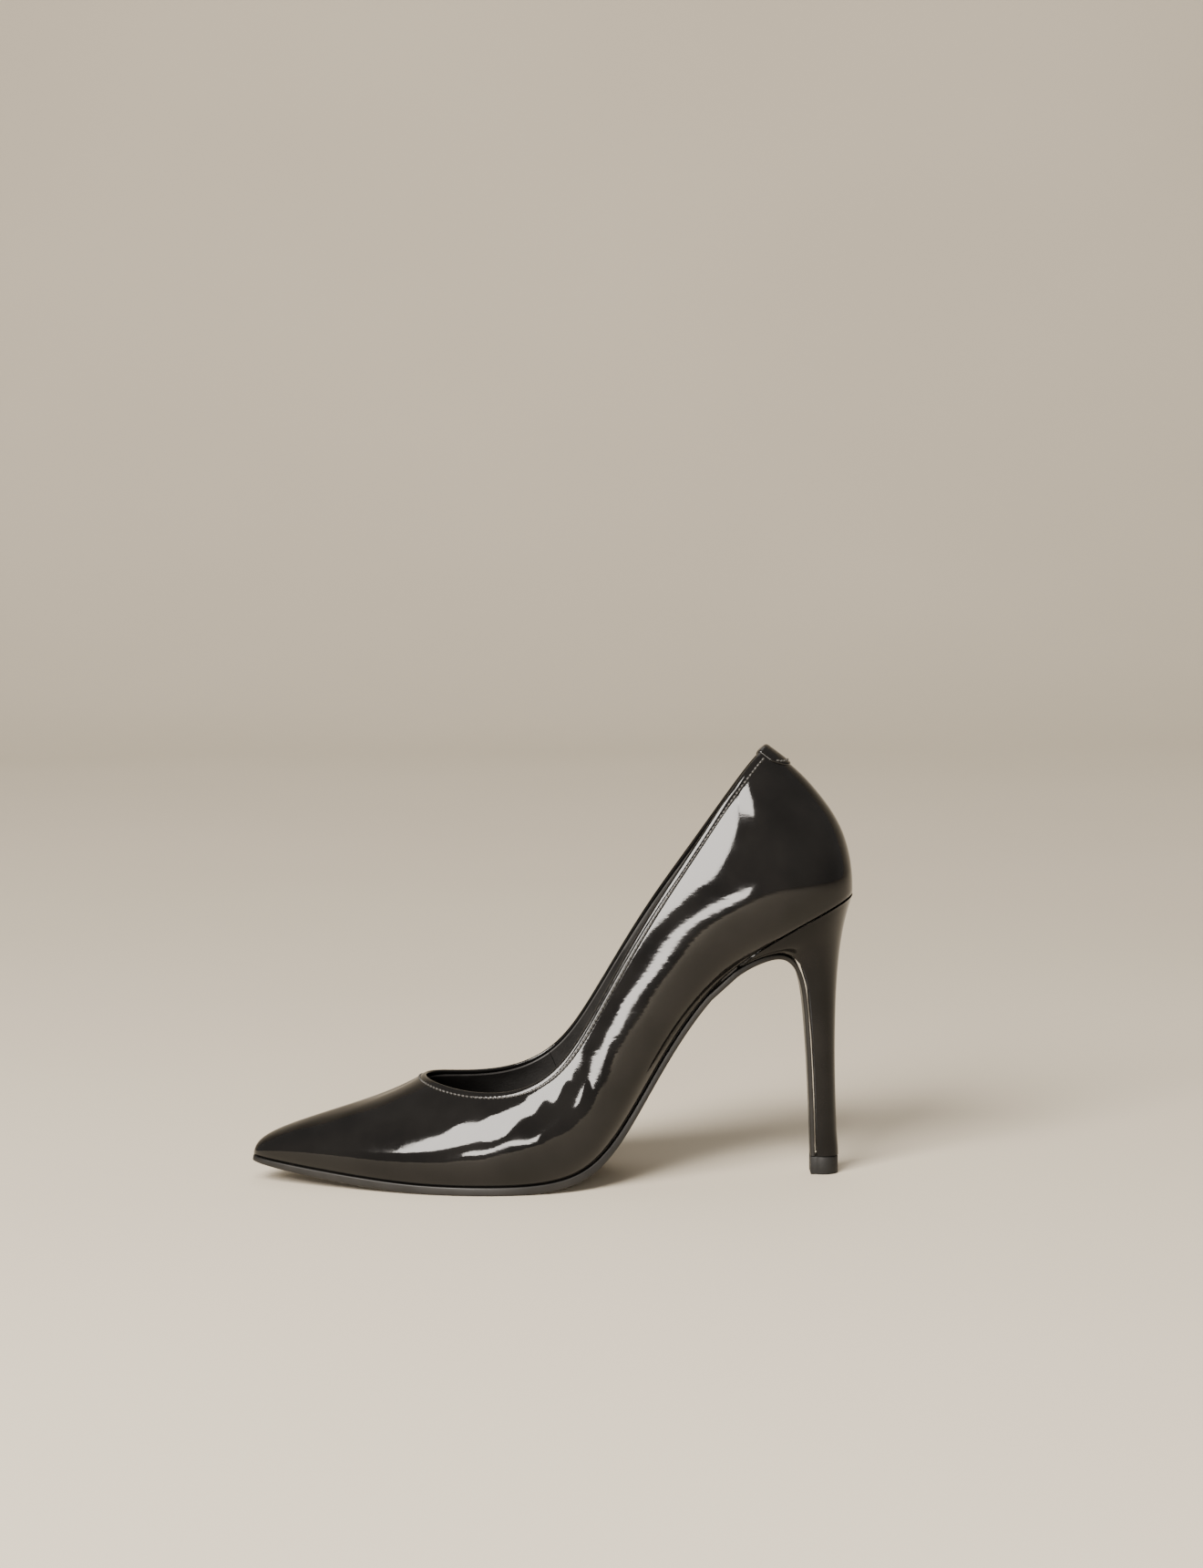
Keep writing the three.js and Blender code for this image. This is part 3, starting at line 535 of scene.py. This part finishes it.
def liningSections(start, end):
    s = liningSizes
    u = np.linspace(start, end, int((end - start) * 12) + 1)
    heights = np.concatenate([np.linspace(0.05, 0.9, 20), np.linspace(0.92, s["top"], 5)])
    level = np.full_like(u, liningMargin)

    def face(deeper):
        rows = [underPoint(u, marginWidth(u), level + deeper),
                underPoint(u, liningDepth(u, 0) + deeper, level + deeper)]
        return rows + [wall(u, h) - wallNormal(u, h) * (liningDepth(u, h) + deeper)[:, None] for h in heights]

    outside, inside = face(0), face(s["thickness"])
    middle = [(outside[-1] + inside[-1]) / 2 + unit(outside[-1] - outside[-2]) * s["thickness"] * 0.4]
    return np.stack(outside + middle + inside[::-1], 1)


vampEnd, quarterStart = liningSizes["join"], liningSizes["join"] + liningSizes["joinGap"]
for name, start, end in (("vamp_lining", -vampEnd, vampEnd),
                         ("quarter_lining", quarterStart, ring - quarterStart)):
    lining = tubeGrid(name + "_leather", liningSections(start, end), made["liningLeather"], False, True, 50)
    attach(lining, shoeBody)
    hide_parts(name)
print("linings")

# Sock and its foam, drawn in from the lining, slightly dished under the foot.
bedSizes = {"board": 2.0, "foam": 2.0, "sock": 0.8, "toeStep": 0.55, "dish": 0.5, "crown": 0.05,
            "across": 25, "tip": 2, "seat": 0.5}
boardTop = liningMargin + liningSizes["thickness"] + last["clearance"] + bedSizes["board"]
foamBottom = boardTop + last["clearance"]
sockBottom = foamBottom + bedSizes["foam"] + last["clearance"]


def bedInset(station):
    lined = liningDepth(station, liningSizes["puffEnd"][1] / 2) + liningSizes["thickness"]
    return lined + 3 * last["clearance"]


def soleCentre(station, height=0.0):
    return (solePoint(station, -1, 0, height) + solePoint(station, 1, 0, height)) / 2


def bedFits(station, tip):
    inset = bedInset(station)
    width = solePoint(station, 1, inset, 0)[1] - solePoint(station, -1, inset, 0)[1]
    return width > bedSizes["tip"] and np.linalg.norm(soleCentre(station) - soleCentre(tip)) > 2 * inset


def bedEnds():
    steps = np.arange(1, 200) * 0.05
    return next(d for d in steps if bedFits(d, 0)), back - next(d for d in steps if bedFits(back - d, back))


def bedSections(start, end, low, high, crown):
    stations = np.concatenate([np.linspace(start, start + 0.5, 9)[:-1],
                               np.linspace(start + 0.5, end - 0.4, 110),
                               np.linspace(end - 0.4, end, 9)[1:]])
    across = np.linspace(-1, 1, bedSizes["across"])
    roundEdge = np.sqrt(np.clip(1 - np.abs(across) ** 14, 0, 1))
    arch = 1 - across ** 2
    middle, half = (low + high) / 2 - bedSizes["dish"] * arch, (high - low) / 2 * roundEdge
    inset = bedInset(stations)
    left, right = solePoint(stations, -1, inset, 0), solePoint(stations, 1, inset, 0)
    sections = []
    for k, up in enumerate(soleNormal(stations)):
        flat = left[k] + (right[k] - left[k]) * ((across + 1) / 2)[:, None]
        topFace = flat + up * (middle + half + crown * arch)[:, None]
        bottomFace = flat + up * (middle - half)[:, None]
        sections.append(np.concatenate([topFace, bottomFace[::-1][1:-1]]))
    return np.array(sections)


bedStart, bedEnd = bedEnds()
foamForm = bedSections(bedStart + bedSizes["toeStep"], bedEnd, foamBottom + bedSizes["seat"],
                       foamBottom + bedSizes["foam"], bedSizes["crown"])
foam = tubeGrid("insole_foam_pad", foamForm, made["latexFoam"], False, True, 60)
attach(foam, shoeBody)
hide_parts("insole_foam")
sockForm = bedSections(bedStart + 1.5 * bedSizes["toeStep"], bedEnd, sockBottom,
                       sockBottom + bedSizes["sock"], 0.0)
sock = tubeGrid("sock_leather", sockForm, made["sockLeather"], False, True, 60)
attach(sock, shoeBody)
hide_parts("sock_lining")
print("sock and foam")

# Heel: its rim is the feather line from station 10 back, and its columns run down to the top piece.
heelSizes = {
    "front": 10, "topPiece": 6.5, "cover": 0.8, "rimGap": 0.15, "lip": 0.22,
    "rows": {  # x, half width and z from the rim down, in mm
        10: [[66.2, 18.2, 78.4], [75.5, 17.5, 83], [85.5, 14.5, 83.8], [91.8, 9.5, 75],
             [93.6, 6.3, 58], [95, 4.8, 30], [95.4, 4.2, 0]],
        11: [[80.5, 20.8, 85.6], [87, 18.8, 86], [91.5, 15, 83], [94.6, 10.2, 72],
             [95.8, 7.2, 56], [96.7, 5.8, 30], [97.2, 5.2, 0]],
        12: [[96, 21, 93], [96.6, 18.6, 89.5], [97.4, 14.4, 83], [98.2, 9.8, 72],
             [98.7, 7.1, 56], [99.4, 5.7, 30], [100.3, 5, 0]],
        13: [[105.8, 12.8, 98.2], [104.9, 11, 93.5], [103.6, 8.6, 86], [102.3, 6.2, 74],
             [101.7, 4.7, 57], [101.8, 3.7, 30], [103, 3.3, 0]],
        14: [[109, 0, 98.6], [107.4, 0, 93.4], [105.8, 0, 86], [104.4, 0, 74],
             [103.3, 0, 57], [103.1, 0, 30], [104, 0, 0]],
    },
}
heelFront, heelEnd = heelSizes["front"], ring - heelSizes["front"]


def heelColumn(i):
    station = min(i, ring - i)
    if station < heelFront:
        first, second = (heelFront, heelFront + 1) if i < back else (heelEnd, heelEnd - 1)
        edge, after = heelColumn(first), heelColumn(second)
        return np.concatenate([[featherControl(i)], (2 * edge - after)[1:]])
    side = -1 if i <= back else 1
    low = heelSizes["topPiece"] + last["clearance"]
    below = [[x * last["lengthScale"], side * half, raised(z) if z else low]
             for x, half, z in heelSizes["rows"][station]]
    return np.array([featherControl(i), *below])


heelNet = CubicNet([heelColumn(i) for i in range(heelFront - 1, heelEnd + 2)], heelFront - 1)
heelNet.net = np.concatenate([heelNet.net, heelNet.net[-1:]])


def heelShell(u, drop, depth):
    if drop == 0:
        return underPoint(u, np.full_like(u, depth), np.full_like(u, -heelSizes["rimGap"]))
    return heelNet.at(u, drop) + heelNet.normal(u, np.full_like(u, drop)) * depth


def coverSections():
    s = heelSizes
    u = np.linspace(heelFront + 0.3, heelEnd - 0.3, 121)
    drops = np.concatenate([[0, 0.012, 0.025], np.linspace(0.04, 0.5, 48),
                            np.linspace(0.5, 0.985, 40)[1:], [0.99, 0.995, 1]])
    sections = []
    for drop in drops:
        lip = s["lip"] * smooth(drop, 0.975, 0.992)
        sections.append(np.concatenate([heelShell(u, drop, -lip), heelShell(u, drop, s["cover"])[::-1]]))
    return np.array(sections)


heelCover = tubeGrid("heel_cover_skin", coverSections(), heelPatent, False, True, 55)
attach(heelCover, shoeBody)
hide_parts("heel_cover")
print("heel cover")

# Outsole: a plate from the toe to the heel that turns down the heel's breast as a flap.
soleSizes = {"toe": 1.8, "forepart": 3.0, "waist": 2.2, "flap": 1.6, "welt": 0.6, "bevel": 0.7, "start": 0.12}


def plateSection(stations):
    s = soleSizes
    stand = s["welt"] * (1 - smooth(stations, 6, 9))
    forepart = s["toe"] + (s["forepart"] - s["toe"]) * smooth(stations, 0, 3.5)
    thick = forepart + (s["waist"] - forepart) * smooth(stations, 6, 8.5)
    b = s["bevel"]
    edge = [(0.25, 0 * stations), (0.06, 0 * stations - 0.08), (0, 0 * stations - 0.3)]
    edge += [(b * (1 - math.cos(a)), b * (1 - math.sin(a)) - thick) for a in np.linspace(0, math.pi / 2, 6)]
    rows = [solePoint(stations, -1, inset - stand, depth) for inset, depth in edge]
    rows += [solePoint(stations, 1, inset - stand, depth) for inset, depth in edge[::-1]]
    return np.stack(rows, 1)


def flapSection(drops):
    s = soleSizes
    step = 1e-3
    edge = heelNet.at(heelFront, drops)
    along = heelNet.at(heelFront, np.minimum(1, drops + step)) - heelNet.at(heelFront, drops - step)
    away = unit(np.stack([along[:, 2], 0 * drops, -along[:, 0]], 1))
    thick = s["waist"] + (s["flap"] - s["waist"]) * smooth(drops, 0, 0.5)
    b = s["bevel"]
    corners = [(0.25, 0 * drops), (0.06, 0 * drops + 0.08), (0, 0 * drops + 0.3)]
    corners += [(b * (1 - math.cos(a)), thick - b * (1 - math.sin(a)))
                for a in np.linspace(0, math.pi / 2, 6)]
    rows = []
    for side, order in ((-1, corners), (1, corners[::-1])):
        for inset, depth in order:
            line = np.stack([edge[:, 0], side * (np.abs(edge[:, 1]) - inset), edge[:, 2]], 1)
            rows.append(line + away * (last["clearance"] + depth)[:, None])
    return np.stack(rows, 1)


plateStations = np.concatenate([[soleSizes["start"]], np.linspace(0.2, 1.5, 24),
                                np.linspace(1.5, heelFront - 0.25, 150)[1:]])
flapDrops = np.concatenate([np.linspace(0.06, 0.5, 40), np.linspace(0.5, 1, 30)[1:]])
soleForm = np.concatenate([plateSection(plateStations), flapSection(flapDrops)])
outsole = tubeGrid("outsole_resin", soleForm, made["soleResin"], False, True, 60)
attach(outsole, shoeBody)
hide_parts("outsole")
print("outsole")

# Top piece: the wearing pad under the heel tip, with eased edges.
padSizes = {"height": 6.5, "ease": 0.35}


def padSections():
    outline = heelNet.at(np.linspace(heelFront, heelEnd, 65), 1.0)
    front = flapSection(np.array([1.0]))[0][:, 0].min()
    left, right = np.array([front, outline[0, 1], 0]), np.array([front, outline[-1, 1], 0])
    outline[:, 2] = 0
    closing = [right + (left - right) * share for share in np.linspace(0, 1, 7)[1:-1]]
    outline = np.concatenate([[left], outline, [right], closing])
    out = unit(outline - outline.mean(0))
    e, high = padSizes["ease"], padSizes["height"]
    levels = [(0, e), (0.1, e * 0.35), (e, 0), (high / 2, 0),
              (high - e, 0), (high - 0.08, e * 0.3), (high, e)]
    return np.array([outline - out * inset + [0, 0, z] for z, inset in levels])


topPiece = tubeGrid("top_piece_pad", padSections(), made["topPieceRubber"], False, True, 50)
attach(topPiece, tipBody)
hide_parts("top_piece")
print("top piece")


# Back tab: a strap of patent over the top of the back seam.
def tabFoot(u):
    return tabSizes["foot"] + tabSizes["curve"] * ((u - back) / tabSizes["reach"]) ** 4


def tabSections():
    s = tabSizes
    u = np.linspace(back - s["reach"], back + s["reach"], 61)
    across = (u - back) / s["reach"]
    ease = np.sqrt(np.clip(1 - np.abs(across) ** 10, 0, 1))
    outer, inner = [], []
    for h in np.linspace(0, 1, 26):
        v = tabFoot(u) + (s["top"] - tabFoot(u)) * h
        rim = np.sqrt(np.clip(1 - (1 - h) ** 16, 0, 1))
        groove = s["rowDepth"] * np.exp(-((h - s["row"]) / s["rowWidth"]) ** 2)
        proud = s["gap"] + 0.05 + (s["thickness"] * rim - groove) * ease
        outer.append(wall(u, v) + wallNormal(u, v) * proud[:, None])
        inner.append(wall(u, v) + wallNormal(u, v) * (s["gap"] - 0.1))
    r = upperSizes["thickness"] / 2
    edge, out = wall(u, 1.0), wallNormal(u, 1.0)
    up = unit(edge - wall(u, 0.99))
    centre = edge - out * r - up * r
    for angle in np.linspace(0.35, math.pi * 0.95, 8):
        end = math.sqrt(max(0.0, 1 - (angle / math.pi) ** 12))
        reach = r + s["gap"] + 0.05 + s["thickness"] * ease * end
        away = out * math.cos(angle) + up * math.sin(angle)
        outer.append(centre + away * reach[:, None])
        inner.append(centre + away * (r + 0.02))
    return np.stack(outer + inner[::-1], 1)


backTab = tubeGrid("back_tab_strap", tabSections(), patent, False, True, 60)
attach(backTab, shoeBody)
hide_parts("back_tab")
print("back tab")


# Stitches: one small tree lays a stitch at every step of a seam line and leans it a little.
threadSizes = {"Thread radius": 0.00042, "Stitch length": 0.00155, "Lean": 0.13,
               "Unevenness": 0.05, "Seed": 7}


def stitchTree(material):
    tree = bpy.data.node_groups.new("stitchRow", "GeometryNodeTree")
    face = tree.interface
    face.new_socket("Geometry", in_out="INPUT", socket_type="NodeSocketGeometry")
    for name, value in {"Stitch count": 100, **threadSizes}.items():
        kind = "NodeSocketInt" if isinstance(value, int) else "NodeSocketFloat"
        face.new_socket(name, in_out="INPUT", socket_type=kind).default_value = value
    face.new_socket("Geometry", in_out="OUTPUT", socket_type="NodeSocketGeometry")
    start = tree.nodes.new("NodeGroupInput")
    entry = {s.name: Wire(tree, s) for s in start.outputs if s.name}
    line = node(tree, "GeometryNodeMeshToCurve", None, {"Mesh": entry["Geometry"]})
    points = node(tree, "GeometryNodeResampleCurve", {"mode": "COUNT"},
                  {"Curve": line, "Count": entry["Stitch count"]})
    tangent = node(tree, "GeometryNodeInputTangent")
    aligned = node(tree, "FunctionNodeAlignRotationToVector", {"axis": "Z"}, {"Vector": tangent})
    least, most = entry["Lean"] - entry["Unevenness"], entry["Lean"] + entry["Unevenness"]
    lean = node(tree, "FunctionNodeRandomValue", {"data_type": "FLOAT"},
                {2: least, 3: most, 8: entry["Seed"]}, 1)
    turn = node(tree, "ShaderNodeCombineXYZ", None, {"X": lean})
    turned = node(tree, "FunctionNodeRotateRotation", {"rotation_space": "LOCAL"}, {0: aligned, 1: turn})
    bead = node(tree, "GeometryNodeMeshUVSphere", None, {"Segments": 8, "Rings": 6, "Radius": 1.0})
    size = node(tree, "ShaderNodeCombineXYZ", None,
                {"X": entry["Thread radius"], "Y": entry["Thread radius"], "Z": entry["Stitch length"] * 0.5})
    laid = node(tree, "GeometryNodeInstanceOnPoints", None,
                {"Points": points, "Instance": bead, "Rotation": turned, "Scale": size})
    plain = node(tree, "GeometryNodeRealizeInstances", None, {"Geometry": laid})
    done = node(tree, "GeometryNodeSetMaterial", None, {"Geometry": plain, "Material": material})
    end = tree.nodes.new("NodeGroupOutput")
    tree.links.new(done.socket, end.inputs[0])
    return tree


stitches = stitchTree(made["polyesterThread"])


# Lays a row along a line of points, and says how many stitches it took.
def stitchRow(name, line, replaced):
    run = runOf(line)
    count = round(run[-1] / upperSizes["stitchPitch"])
    wanted = (np.arange(count) + 0.5) / count * run[-1]
    points = np.stack([np.interp(wanted, run, line[:, k]) for k in range(3)], 1) * mm
    mesh = bpy.data.meshes.new(name + "_line")
    mesh.from_pydata([tuple(p) for p in points], [(k, k + 1) for k in range(count - 1)], [])
    holder = bpy.data.objects.new(name + "_line", mesh)
    bpy.context.scene.collection.objects.link(holder)
    layer = holder.modifiers.new("stitches", "NODES")
    layer.node_group = stitches
    sockets = {s.name: s.identifier for s in stitches.interface.items_tree if s.in_out == "INPUT"}
    for key, value in {"Stitch count": count, **threadSizes}.items():
        layer[sockets[key]] = value
    bpy.context.view_layer.update()
    graph = bpy.context.evaluated_depsgraph_get()
    mesh = bpy.data.meshes.new_from_object(holder.evaluated_get(graph))
    holder.modifiers.clear()
    bpy.data.objects.remove(holder)
    mesh.shade_smooth()
    row = bpy.data.objects.new(name, mesh)
    bpy.context.scene.collection.objects.link(row)
    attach(row, shoeBody)
    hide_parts(replaced)
    return count


def lineOn(u, v, proud):  # a line drawn on the wall, a little proud of it
    return wall(u, v) + wallNormal(u, v) * proud


seamHeights = np.linspace(0.06, 0.955, 300)
seamStations = np.full_like(seamHeights, upperSizes["seamStation"] + upperSizes["seamRow"])
tabStations = np.linspace(back - 0.86 * tabSizes["reach"], back + 0.86 * tabSizes["reach"], 200)
tabHeights = tabFoot(tabStations) + (tabSizes["top"] - tabFoot(tabStations)) * tabSizes["row"]
counts = [stitchRow("topline_stitches", lineOn(rowStations, rowHeights, 0.02), "topline_thread"),
          stitchRow("side_seam_stitches", lineOn(seamStations, seamHeights, 0.26), "side_seam_thread"),
          stitchRow("back_tab_stitches", lineOn(tabStations, tabHeights, 0.72), "back_tab_thread")]
print("stitches", counts)

# Finishes of the CAD nodes that stay as they are.
keptFinish = {"toe_puff": "stiffenerSheet", "heel_counter": "stiffenerSheet", "insole_board": "fibreboard",
              "bottom_filler": "corkFiller", "steel_shank": "springSteel", "heel_block": "heelPlastic",
              "heel_tube": "springSteel", "top_piece_pin": "springSteel"}
for name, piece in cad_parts.items():
    if piece.hide_render:
        continue
    finish = made[keptFinish.get(name, "springSteel")]
    piece.data.materials.clear()
    piece.data.materials.append(finish)
print("kept nodes finished")

# Stage: a pale seamless floor that curves up far behind.
stageSizes = {"front": -14.0, "bend": 1.7, "radius": 1.2, "half": 4.5, "height": 4.0}


def seamlessFloor():
    s = stageSizes
    profile = [(s["front"], 0.0), (0.0, 0.0), (s["bend"], 0.0)]
    profile += [(s["bend"] + s["radius"] * math.sin(a), s["radius"] * (1 - math.cos(a)))
                for a in np.linspace(0, math.pi / 2, 25)[1:]]
    profile.append((s["bend"] + s["radius"], s["height"]))
    points = [(x, y, z) for y, z in profile for x in (-s["half"], s["half"])]
    faces = [(2 * k, 2 * k + 1, 2 * k + 3, 2 * k + 2) for k in range(len(profile) - 1)]
    mesh = bpy.data.meshes.new("seamless_floor")
    mesh.from_pydata(points, [], faces)
    mesh.shade_smooth()
    floor = bpy.data.objects.new("seamless_floor", mesh)
    bpy.context.scene.collection.objects.link(floor)
    material, tree, shader, place = newMaterial("palePaper", {"Roughness": 0.9, "Specular IOR Level": 0.15})
    wireUp(tree, shader, mixColour(tree, between(tree, noise(tree, place, 2.5, 2), 0, 1),
                                   (0.540, 0.482, 0.388, 1), (0.560, 0.501, 0.405, 1)))
    mesh.materials.append(material)


seamlessFloor()

# Camera and light
cameraSizes = {"distance": 1.3294, "turn": 0.65, "down": 5.74, "roll": -0.62,
               "aim": (0.01756, 0.14273), "lens": 83.72}


def cameraFrame():
    turn, down, roll = (math.radians(cameraSizes[k]) for k in ("turn", "down", "roll"))
    ahead = Vector((math.sin(turn) * math.cos(down), math.cos(turn) * math.cos(down), -math.sin(down)))
    right = Vector((math.cos(turn), -math.sin(turn), 0))
    up = right.cross(ahead)
    right, up = right * math.cos(roll) + up * math.sin(roll), up * math.cos(roll) - right * math.sin(roll)
    place = right * cameraSizes["aim"][0] + up * cameraSizes["aim"][1] - ahead * cameraSizes["distance"]
    turned = Matrix((right, up, -ahead)).transposed().to_4x4()
    return Matrix.Translation(place) @ turned


lens = bpy.data.cameras.new("camera")
lens.lens, lens.sensor_width, lens.clip_start, lens.clip_end = cameraSizes["lens"], 36, 0.01, 100
camera = bpy.data.objects.new("camera", lens)
camera.matrix_world = cameraFrame()
bpy.context.scene.collection.objects.link(camera)
bpy.context.scene.camera = camera
middle = (0.0, 0.0, 0.06)  # the point of the shoe that the soft boxes face


def fromMiddle(turn, rise, distance):  # turn 0 is the camera's side, and a minus turn the toe's
    turn, rise = math.radians(turn), math.radians(rise)
    flat, x, y, z = distance * math.cos(rise), *middle
    return x + flat * math.sin(turn), y - flat * math.cos(turn), z + distance * math.sin(rise)


boxColour, roomColour = (1.0, 0.942, 0.872), (1.0, 0.95, 0.89)
lamps = {  # place, aim, width, height, power, colour
    "leftBox": (fromMiddle(-31, 36, 2.3), middle, 1.12, 1.15, 152, boxColour),
    "highBox": (fromMiddle(-3, 49, 2.3), middle, 0.46, 0.42, 22, boxColour),
    "strip": (fromMiddle(-11, 8, 2.3), middle, 1.15, 0.22, 30, boxColour),
    "overhead": ((0.2, 1.2, 2.6), (0.1, 1.2, 0.0), 2.4, 1.6, 17, roomColour),
    "wall": ((0.0, 0.9, 1.6), (0.0, 2.9, 1.0), 2.4, 0.6, 11, roomColour),
}
for name, (place, aim, width, height, power, colour) in lamps.items():
    lamp = bpy.data.lights.new(name, "AREA")
    lamp.shape, lamp.size, lamp.size_y, lamp.energy, lamp.color = "RECTANGLE", width, height, power, colour
    holder = bpy.data.objects.new(name, lamp)
    holder.location = place
    holder.rotation_mode = "QUATERNION"
    holder.rotation_quaternion = (Vector(aim) - Vector(place)).to_track_quat("-Z", "Y")
    bpy.context.scene.collection.objects.link(holder)
world = bpy.data.worlds.new("room")
world.use_nodes = True
background = world.node_tree.nodes["Background"].inputs
background["Color"].default_value, background["Strength"].default_value = (1.0, 0.96, 0.9, 1), 0.22
bpy.context.scene.world = world
print("stage, camera and light")
